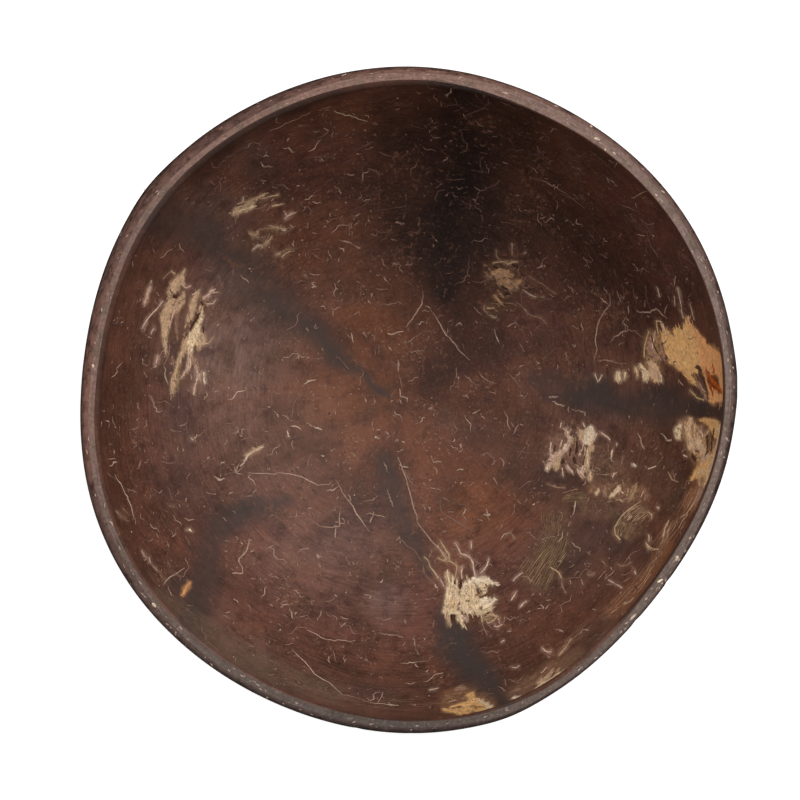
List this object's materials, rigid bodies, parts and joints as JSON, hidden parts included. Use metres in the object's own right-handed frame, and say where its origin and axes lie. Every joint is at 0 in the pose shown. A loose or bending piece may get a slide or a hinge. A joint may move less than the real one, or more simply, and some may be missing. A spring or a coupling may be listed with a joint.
{
  "type": "coconut shell bowl",
  "caption": "Round open bowl made from half a coconut shell, slightly lobed, with a hand-bevelled rim and a small flat to stand on.",
  "frame": {"origin": "centre of the flat resting face under the bowl", "axes": "+Z up, out of the bowl's mouth; seen from above with +X to the right and +Y up, it lies as the picture shows it"},
  "size_m": [0.1343, 0.1363, 0.06],
  "materials": {
    "coconut_shell": "sanded and oiled, satin"
  },
  "bodies": {
    "root": {"shell": "coconut_shell"}
  },
  "joints": []
}
